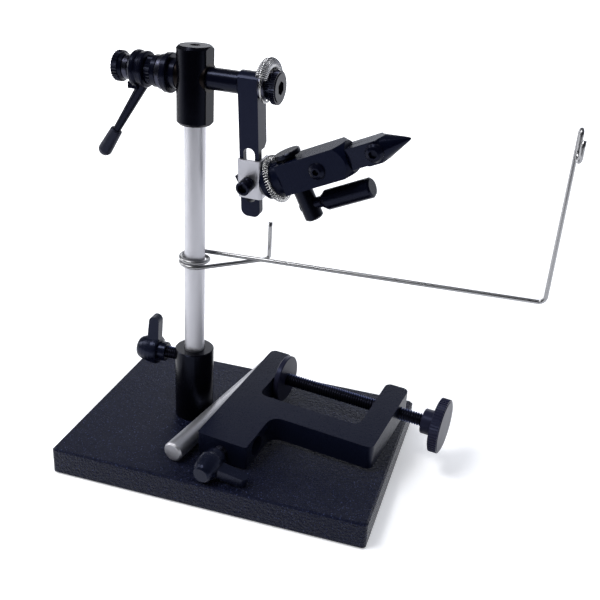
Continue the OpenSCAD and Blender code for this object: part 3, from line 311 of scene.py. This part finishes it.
class Finish(Shader):
    """A node material with one Principled shader."""

    def __init__(self, name, **same):
        self.material = bpy.data.materials.new(name)
        self.material.use_nodes = True
        super().__init__(self.material.node_tree)
        self.surface = next(n for n in self.tree.nodes if n.type == "BSDF_PRINCIPLED")
        self.output = next(n for n in self.tree.nodes if n.type == "OUTPUT_MATERIAL")
        self.shade(**same)
        self.place = self.add("ShaderNodeTexCoord", output="Object")

    def noise(self, scale, detail=2.0, rough=0.5):
        """Noise from 0 to 1 over the piece, with scale features to the metre."""
        return self.add("ShaderNodeTexNoise", {}, {
            "Vector": self.place, "Scale": scale, "Detail": detail, "Roughness": rough})

    def lines(self, axis, scale, detail):
        """Noise that changes only along an axis, as turning or brushing leaves it."""
        return self.add("ShaderNodeTexNoise", {"noise_dimensions": "1D"}, {
            "W": self.along(self.place, axis), "Scale": scale, "Detail": detail})

    def bump(self, height, depth, strength=1.0):
        """Bump of a height from 0 to 1 into the shader's normal."""
        self.shade(Normal=self.add("ShaderNodeBump", {}, {
            "Height": height, "Distance": depth, "Strength": strength}, output="Normal"))

    def shade(self, **inputs):
        """Links or values into the shader's sockets."""
        for key, value in inputs.items():
            self.put(self.surface.inputs[key.replace("_", " ")], value)
        return self.material


# Scales of the finishes' grain and of the coats' painted glints, in features to the metre
PEBBLES, GRIT, PAINTED_GLINTS, WORN_PLACES = 850.0, 2400.0, 1500.0, 30.0
TOOL_MARKS, BRUSHED_LINES, DRAWN_LINES = 5200.0, 3000.0, 900.0
DARK_CLOUDS, RUBBED_PLACES, BRIGHT_CLOUDS = 90.0, 420.0, 60.0
SPARK_GRAIN, MOULD_CLOUDS, RUBBER_GRAIN = 1900.0, 120.0, 1200.0
# Depths of the bumps in metres
MARK_DEPTH, SPARK_DEPTH, RUBBER_DEPTH = 0.00002, 0.00005, 0.0001
BLUE_SHEEN = (0.55, 0.62, 1.0, 1.0)


def scaled(colour, times, lift=0.0):
    """A colour times a number, plus a lift: the worn or dull look of another colour."""
    return tuple(times * c + lift for c in colour)


def uneven(rough, noise, share, other, other_share):
    """Roughness about a mean: the shares of two noises, less the half that they add."""
    return noise * share + other * other_share + (rough - (share + other_share) / 2)


def textured_coat(name, colour, wear_and_painted_glint, rough, depth, gloss):
    """Powder coat: an even dark skin with a pebbled grain, worn a little paler in places,
    and pin-point glints painted light into the colour, as highlights on pebbles' flanks."""
    f = Finish(name, Specular_IOR_Level=gloss, Specular_Tint=BLUE_SHEEN)
    pebbles = f.noise(PEBBLES, 1.0, 0.4)
    grit = f.noise(GRIT, 1.0)
    worn = f.noise(WORN_PLACES, 3.0)
    # Painted highlights: spots of noise where the colour is painted light as glints, and the
    # roughness lower
    painted_glint = f.noise(PAINTED_GLINTS, 1.0).clamped(0.63, 0.75)
    f.bump(pebbles * 0.6 + grit * 0.4, depth)
    # The colour goes light and blue at the painted glints, and a little at the worn places
    return f.shade(Base_Color=f.mix(painted_glint * 0.7 + worn * 0.04, colour, wear_and_painted_glint),
                   Roughness=uneven(rough, grit, 0.14, worn, 0.10) - painted_glint * 0.10)


def dark_metal(name, colour, rough, axis=None, metal=0.0, gloss=0.15):
    """Blackened or black anodised metal: faint cloudiness, fine tool marks across an axis
    and a paler rubbed look in small patches."""
    f = Finish(name, Specular_IOR_Level=gloss, Specular_Tint=BLUE_SHEEN, Metallic=metal)
    cloud = f.noise(DARK_CLOUDS, 3.0)
    marks = f.lines(axis, TOOL_MARKS, 3.0) if axis else f.noise(TOOL_MARKS)
    rub = f.noise(RUBBED_PLACES, 4.0, 0.7).clamped(0.60, 0.78)
    f.bump(marks, MARK_DEPTH, 0.25)
    return f.shade(Base_Color=f.mix(rub * 0.45 + cloud * 0.25, colour,
                                    scaled(colour, 1.8, 0.003)),
                   Roughness=uneven(rough, cloud, 0.10, marks, 0.08))


def bright_metal(name, colour, rough, axis, scale=TOOL_MARKS):
    """Ground, brushed or drawn bright metal with fine lines across one axis."""
    f = Finish(name, Metallic=1.0)
    fine = f.lines(axis, scale, 4.0)
    cloud = f.noise(BRIGHT_CLOUDS, 3.0)
    f.bump(fine, MARK_DEPTH, 0.5)
    return f.shade(Base_Color=f.mix(cloud * 0.5 + fine * 0.35, scaled(colour, 0.8), colour),
                   Roughness=uneven(rough, fine, 0.14, cloud, 0.10))


def moulded(name, colour, rough):
    """Moulded black plastic with a soft spark-eroded grain."""
    f = Finish(name, Specular_IOR_Level=0.20, Specular_Tint=BLUE_SHEEN)
    grain = f.noise(SPARK_GRAIN)
    cloud = f.noise(MOULD_CLOUDS)
    f.bump(grain, SPARK_DEPTH, 0.7)
    return f.shade(Base_Color=f.mix(cloud, colour, scaled(colour, 1.6, 0.003)),
                   Roughness=uneven(rough, grain, 0.12, cloud, 0.08))


def rubber(name, colour):
    """Matt rubber sheet."""
    f = Finish(name)
    grain = f.noise(RUBBER_GRAIN, 3.0)
    f.bump(grain, RUBBER_DEPTH)
    return f.shade(Base_Color=f.mix(grain, colour, scaled(colour, 1.5)),
                   Roughness=grain * 0.15 + 0.75)


SPINDLE_WAY, ARM_WAY = tuple(ON_ROTOR[0][:, 0]), tuple(ON_ROTOR[0][:, 2])
JAW_WAY, CAM_WAY = tuple(ON_JAW[0][:, 0]), tuple(ON_JAW[0][:, 2])
UP, ASLANT = (0.0, 0.0, 1.0), (0.58, 0.58, 0.57)
STEM_LIES = np.radians(9.5)
STEM_WAY = (np.sin(STEM_LIES), np.cos(STEM_LIES), 0.0)
JET, INK, NAVY = (0.0005, 0.0005, 0.0014), (0.0014, 0.0017, 0.0056), (0.0028, 0.0038, 0.0125)
JAW_BLUE, TIP_BLUE = (0.0018, 0.0028, 0.0100), (0.0012, 0.0018, 0.0066)
# Each coat's second colour: worn places and painted highlights (glints) go towards it
BASE_BLUE, BASE_WEAR_AND_PAINTED_GLINT = (0.0014, 0.0020, 0.0090), (0.060, 0.074, 0.160)
CLAMP_BLUE, CLAMP_WEAR_AND_PAINTED_GLINT = (0.0036, 0.0048, 0.0130), (0.014, 0.017, 0.032)
THREAD_GREY, KNOB_GREY = (0.012, 0.0125, 0.020), (0.013, 0.0135, 0.0280)
CAP_BLUE, GRIP_GREY = (0.0022, 0.0030, 0.0085), (0.008, 0.0085, 0.014)
PAD_BLACK = (0.006, 0.006, 0.007)
WASHER_GREY, HUB_GREY = (0.045, 0.047, 0.068), (0.07, 0.072, 0.10)
BUSH_BROWN, HOOP_GREY = (0.010, 0.008, 0.008), (0.40, 0.40, 0.40)
WIRE_GREY, ARCH_GREY, RING_GREY = (0.36, 0.36, 0.37), (0.62, 0.62, 0.64), (0.66, 0.66, 0.66)
STEEL, SATIN = (0.46, 0.46, 0.50), (0.62, 0.62, 0.66)

# Each finish's colours and mean roughness, then the coats' depth of bump and gloss, or the
# way along which a metal's marks follow each other
base_coat = textured_coat("base_coat", BASE_BLUE, BASE_WEAR_AND_PAINTED_GLINT, 0.24, 0.0013, 0.15)
clamp_coat = textured_coat("clamp_coat", CLAMP_BLUE, CLAMP_WEAR_AND_PAINTED_GLINT, 0.30, 0.00008, 0.18)
head_black = dark_metal("head_black", JET, 0.24, UP, gloss=0.09)
socket_black = dark_metal("socket_black", JET, 0.24, UP, gloss=0.12)
spindle_black = dark_metal("spindle_black", INK, 0.25, SPINDLE_WAY)
ring_black = dark_metal("ring_black", INK, 0.25, SPINDLE_WAY)
arm_black = dark_metal("arm_black", NAVY, 0.30, ARM_WAY)
jaw_black = dark_metal("jaw_black", JAW_BLUE, 0.27, JAW_WAY, gloss=0.10)
tip_black = dark_metal("tip_black", TIP_BLUE, 0.20, JAW_WAY, gloss=0.18)
cam_black = dark_metal("cam_black", JET, 0.24, CAM_WAY)
lever_black = dark_metal("lever_black", INK, 0.24, JAW_WAY)
screw_black = dark_metal("screw_black", INK, 0.25)
thread_dark = dark_metal("thread_dark", THREAD_GREY, 0.30, metal=0.8)
knob_black = dark_metal("knob_black", KNOB_GREY, 0.32)
cap_black = moulded("cap_black", CAP_BLUE, 0.25)
grip_black = moulded("grip_black", GRIP_GREY, 0.40)
post_satin = bright_metal("post_satin", SATIN, 0.50, UP)
stem_satin = bright_metal("stem_satin", SATIN, 0.46, STEM_WAY)
bracket_bright = bright_metal("bracket_bright", STEEL, 0.42, ARM_WAY, BRUSHED_LINES)
washer_dark = bright_metal("washer_dark", WASHER_GREY, 0.30, SPINDLE_WAY)
hoop_steel = bright_metal("hoop_steel", HOOP_GREY, 0.28, ASLANT, DRAWN_LINES)
hub_bright = bright_metal("hub_bright", HUB_GREY, 0.32, SPINDLE_WAY)
wire_bright = bright_metal("wire_bright", WIRE_GREY, 0.30, ASLANT, DRAWN_LINES)
arch_steel = bright_metal("arch_steel", ARCH_GREY, 0.22, ASLANT, DRAWN_LINES)
spring_bright = bright_metal("spring_bright", RING_GREY, 0.22, ASLANT, DRAWN_LINES)
bush_bronze = bright_metal("bush_bronze", BUSH_BROWN, 0.40, SPINDLE_WAY)
pad_rubber = rubber("pad_rubber", PAD_BLACK)

NODES_IN = {
    base_coat: ["base_plate"], pad_rubber: ["base_pad"], socket_black: ["post_socket"],
    post_satin: ["post"], head_black: ["head_block"], bush_bronze: ["spindle_bushes"],
    spindle_black: ["spindle", "crank_lever"], grip_black: ["crank_grip"],
    ring_black: ["bearing_flange", "tension_ring", "crank_hub", "end_knob", "lock_knob"],
    washer_dark: ["friction_washer", "end_washer"], arm_black: ["drop_arm"],
    hub_bright: ["spring_hub"], hoop_steel: ["spring_hoop"],
    arch_steel: ["material_spring"], bracket_bright: ["slide_bracket"],
    screw_black: ["socket_bolt", "head_grub_screws", "crank_clamp_screw", "bracket_spacer",
                  "bracket_screw", "clamp_nut", "jaw_pin_screw", "jaw_tension_screw"],
    jaw_black: ["jaw_collar", "jaw_body"], spring_bright: ["collar_spring"],
    tip_black: ["near_jaw", "far_jaw"], cam_black: ["cam_shaft", "cam_disc"],
    lever_black: ["cam_lever"], wire_bright: ["bobbin_rest"], clamp_coat: ["clamp_frame"],
    thread_dark: ["post_screw_stud", "clamp_screw", "stem_screw_stud"],
    knob_black: ["clamp_pad", "clamp_knob"], cap_black: ["post_screw_knob", "stem_screw_knob"],
    stem_satin: ["spare_stem"]}
for finish, names in NODES_IN.items():
    for node in names:
        nodes[node].data.materials.clear()
        nodes[node].data.materials.append(finish)


# Threads of the clamp screw and of the two thumb screws

CLAMP_SCREW_R, CLAMP_PITCH, CLAMP_SCREW_FROM, CLAMP_SCREW_TO = 3.175, 1.27, 13.6, 97.0
STUD_R, STUD_PITCH, STUD_L = 3.0, 1.0, 20.53
CLAMP_THREAD, STUD_THREAD = 0.55, 0.45
screw_rows = thread(CLAMP_SCREW_R, CLAMP_THREAD, CLAMP_PITCH,
                    CLAMP_SCREW_TO - CLAMP_SCREW_FROM)
stud_rows = thread(STUD_R, STUD_THREAD, STUD_PITCH, STUD_L)
thread_skin("clamp_screw_thread", screw_rows + np.array([CLAMP_SCREW_FROM, 0, 0]),
            "clamp_screw", ON_CLAMP_SCREW, "clamp_screw")
thread_skin("post_stud_thread", stud_rows, "post_stud", ON_POST_SCREW, "post_screw_stud")
thread_skin("stem_stud_thread", stud_rows, "stem_stud", ON_STEM_SCREW, "stem_screw_stud")


# Wound springs: the arch of the material clip and the ring round the jaws' collar

SPRING_SIDES, SPRING_WIRE = 8, 0.2
# Radii of the circle that a coil follows and of its curls outside, then its place
ARCH_BEND, ARCH_COIL, ARCH_A, ARCH_UP = 8.5, 2.8, 34.2, 0.7
ARCH_START, ARCH_SWEEP, ARCH_CURLS, ARCH_STEPS = -57.0, 132.0, 28, 24
RING_BEND, RING_COIL, RING_S, RING_OPEN = 9.15, 1.45, 6.2, 6.0
RING_CURLS, RING_STEPS = 54, 22
skin("arch_spring", coil(ARCH_BEND, ARCH_COIL - SPRING_WIRE, SPRING_WIRE, ARCH_CURLS,
                         ARCH_START, ARCH_SWEEP, ARCH_STEPS, SPRING_SIDES),
     "material_clip", arch_steel, inside(ON_ROTOR, (ARCH_A, 0, ARCH_UP)),
     "material_spring")
skin("ring_spring", coil(RING_BEND, RING_COIL - SPRING_WIRE, SPRING_WIRE, RING_CURLS,
                         RING_OPEN / 2, 360 - RING_OPEN, RING_STEPS, SPRING_SIDES),
     "jaw_slide", spring_bright, inside(ON_JAW, (RING_S, 0, 0)), "collar_spring")


# Wire of the bobbin rest

REST_R, REST_Z, REST_COIL_R, REST_REACH, REST_RISE = 0.95, 99.2, 6.4, 158.2, 3.2
REST_UPRIGHT, CRADLE_DEPTH, CRADLE_W, CRADLE_PRONG = 75.3, 11.0, 7.2, 8.9
HAIRPIN_W, REST_LEAN, FORK_TURN, REST_LEAVE = 3.4, 1.0, 9.0, 576.5
HOOK_REACH, HOOK_H, HOOK_RISE, REST_GAP = 34.3, 18.2, 1.6, 0.45
REST_CORNER, HOOK_CORNER = 3.0, 2.2
REST_SIDES, CORNER_STEPS, COIL_STEPS = 14, 14, 150
# About how far apart points are on straight wire, and how near ones that are dropped
SPACING, NEAREST = 2.0, 0.01
# A way that no stretch of the wire follows, from which its round section starts
REST_ASIDE = (0.31, 0.90, 0.30)


def bend(a, p, b, r):
    """Points of a round corner of radius r at p, on the way from a to b: an arc about the
    point on the corner's half-way line that lies r from both ways."""
    a, p, b = (np.array(v, float) for v in (a, p, b))
    u, v = unit(a - p), unit(b - p)
    half = np.arccos(u @ v) / 2
    middle = p + unit(u + v) * r / np.sin(half)
    start, end = p + u * r / np.tan(half) - middle, p + v * r / np.tan(half) - middle
    swing = np.pi - 2 * half
    share = np.linspace(0, 1, CORNER_STEPS)[:, None]
    return middle + (np.sin(swing * (1 - share)) * start
                     + np.sin(swing * share) * end) / np.sin(swing)


def straight(a, b):
    """Points between two places, without them, about a spacing apart."""
    count = max(int(np.linalg.norm(b - a) / SPACING), 1)
    return a + (b - a) * (np.arange(1, count)[:, None] / count)


def fork(depth, z):
    """Place on the cradle: depth along its own way from the upright, and a height."""
    way = np.radians(FORK_TURN)
    return np.array([REST_REACH + REST_LEAN + depth * np.sin(way),
                     REST_COIL_R - depth * np.cos(way), z])


def round_post(degrees):
    """Wire round the post: a helix that falls by the wire and a gap in each turn."""
    degrees = np.asarray(degrees, float)
    at = np.radians(90 + degrees)
    return np.stack([REST_COIL_R * np.cos(at), REST_COIL_R * np.sin(at),
                     REST_Z - (2 * REST_R + REST_GAP) * degrees / 360], axis=-1)


def rest_path():
    """Middle line of the bobbin rest from end to end: the cradle's free prong, its round
    floor, its near prong, the hairpin over to the upright, the long arm, the turns round
    the post and the short hook. Round corners, joined by straight stretches."""
    top = REST_Z + REST_RISE + REST_UPRIGHT
    floor = top - CRADLE_DEPTH
    near, far = HAIRPIN_W, HAIRPIN_W + CRADLE_W
    corner = np.array([REST_REACH, REST_COIL_R, REST_Z + REST_RISE])
    leave = round_post(REST_LEAVE)
    ahead = np.radians(180 + REST_LEAVE)
    reach = np.array([np.cos(ahead), np.sin(ahead), 0]) * HOOK_REACH
    hook = leave + reach + np.array([0, 0, HOOK_RISE])
    hook_top = hook + np.array([0, 0, HOOK_H])
    stretches = [
        fork(far, floor + CRADLE_PRONG)[None],
        bend(fork(far, top), fork(far, floor), fork(near, floor), CRADLE_W / 2),
        bend(fork(far, floor), fork(near, floor), fork(near, top), CRADLE_W / 2),
        bend(fork(near, floor), fork(near, top), fork(0, top), HAIRPIN_W / 2),
        bend(fork(near, top), fork(0, top), corner, HAIRPIN_W / 2),
        bend(fork(0, top), corner, round_post(0), REST_CORNER),
        round_post(np.linspace(0, REST_LEAVE, COIL_STEPS)),
        bend(leave, hook, hook_top, HOOK_CORNER),
        hook_top[None]]
    path = stretches[0]
    for stretch in stretches[1:]:
        path = np.concatenate([path, straight(path[-1], stretch[0]), stretch])
    gaps = np.linalg.norm(np.diff(path, axis=0), axis=1)
    return path[np.concatenate([[True], gaps > NEAREST])]


path = rest_path()
aside = np.broadcast_to(unit(np.array(REST_ASIDE)), path.shape)
skin("bobbin_wire", wire(path, aside, REST_R, REST_SIDES), "bobbin_rest", wire_bright,
     ON_POST, "bobbin_rest")


# Floor, world and lamps

FLOOR_X, FLOOR_FRONT, FLOOR_BACK = 3.0, -0.45, 4.0
# Lift of the floor near the vise, what comes to it far away, and where that begins and ends
NEAR_LIFT, FAR_LIFT, LIFT_RISES = 0.34, 0.9, (0.25, 1.0)
WHITE, PALE, ROOM = (1.0, 1.0, 1.0), (0.93, 0.93, 0.935), (0.86, 0.90, 1.0)
BEHIND, BEHIND_ABOVE, RIGHT = (-0.30, 0.95, 0.0), (-0.30, 0.80, 0.52), (1.0, 0.0, 0.0)
# Strength of the world's soft light, and how much of its white mirrors see elsewhere
MOST_LIGHT, LEAST_LIGHT = 0.75, 0.20
SEEN_ABOVE, SEEN_AT_LEFT, SEEN_IN_FRONT = 0.25, 0.20, 0.04
# From where to where each of them changes, counted along its way
LIGHT_FADES, FRONT_FADES = (-0.70, 0.80), (-0.75, 0.45)
ABOVE_FADES, LEFT_FADES = (0.25, 0.60), (-0.55, -0.25)


def studio_floor():
    """Pale sweep under the vise: diffuse white, lifted to white for the camera, mirrors
    and glass, more so far away, so that only the shadow shows on it."""
    mesh = bpy.data.meshes.new("floor")
    mesh.from_pydata([(-FLOOR_X, FLOOR_FRONT, 0), (FLOOR_X, FLOOR_FRONT, 0),
                      (FLOOR_X, FLOOR_BACK, 0), (-FLOOR_X, FLOOR_BACK, 0)], [], [(0, 1, 2, 3)])
    floor = bpy.data.objects.new("floor", mesh)
    bpy.context.scene.collection.objects.link(floor)
    f = Finish("floor_white")
    seen = f.rays("Camera", "Glossy", "Transmission")
    away = f.add("ShaderNodeVectorMath", {"operation": "LENGTH"}, {0: f.place},
                 output="Value").clamped(*LIFT_RISES)
    diffuse = f.add("ShaderNodeBsdfDiffuse", {}, {"Color": (*PALE, 1.0)})
    lift = f.add("ShaderNodeEmission", {}, {
        "Color": (*WHITE, 1.0), "Strength": seen * (away * FAR_LIFT + NEAR_LIFT)})
    both = f.add("ShaderNodeAddShader", {}, {0: diffuse, 1: lift})
    f.put(f.output.inputs["Surface"], both)
    floor.data.materials.append(f.material)


def studio_world():
    """White to the eye and through glass. What mirrors see is white behind the vise and
    darker above it, in front of it and on the far left, as the room is. What lights matt
    surfaces is soft, and strongest from behind and above."""
    world = bpy.data.worlds.new("studio")
    bpy.context.scene.world = world
    world.use_nodes = True
    sky = Shader(world.node_tree)
    sky.tree.nodes.clear()
    way = sky.add("ShaderNodeTexCoord", output="Generated")
    eye, mirrored, through = (sky.rays(k) for k in ("Camera", "Glossy", "Transmission"))
    soft = sky.along(way, BEHIND_ABOVE).clamped(*LIGHT_FADES)
    behind = sky.along(way, BEHIND).clamped(*FRONT_FADES)
    above = sky.along(way, UP).clamped(*ABOVE_FADES)
    not_left = sky.along(way, RIGHT).clamped(*LEFT_FADES)
    light = soft * (MOST_LIGHT - LEAST_LIGHT) + LEAST_LIGHT
    dim = (1 - above * (1 - SEEN_ABOVE)) * (not_left * (1 - SEEN_AT_LEFT) + SEEN_AT_LEFT)
    mirror = behind * dim * (1 - SEEN_IN_FRONT) + SEEN_IN_FRONT
    strength = (mirrored * mirror + (1 - mirrored) * light).most(eye).most(through)
    shade = sky.add("ShaderNodeBackground", {}, {
        "Color": sky.mix(eye, ROOM, WHITE), "Strength": strength})
    sky.add("ShaderNodeOutputWorld", {}, {"Surface": shade})


def lamp(name, place, target, size, power):
    """Soft rectangular lamp at a place, facing a target and unseen by the camera. Its size
    is in metres and its power in watts."""
    data = bpy.data.lights.new(name, "AREA")
    data.shape, data.energy = "RECTANGLE", power
    data.size, data.size_y = size
    light = bpy.data.objects.new(name, data)
    light.visible_camera = False
    aim(light, place, np.array(target) - np.array(place), UP)


studio_floor()
studio_world()
lamp("strip", (-0.36, 1.10, 0.64), (0.0, 0.0, 0.15), (1.0, 0.22), 2.2)
lamp("overhead", (-0.36, -0.36, 0.96), (0.0, 0.0, 0.10), (0.34, 0.28), 5.4)
lamp("left", (-0.80, -0.10, 0.50), (0.0, 0.0, 0.12), (0.25, 0.6), 2.8)
bpy.context.scene.view_settings.view_transform = "Standard"
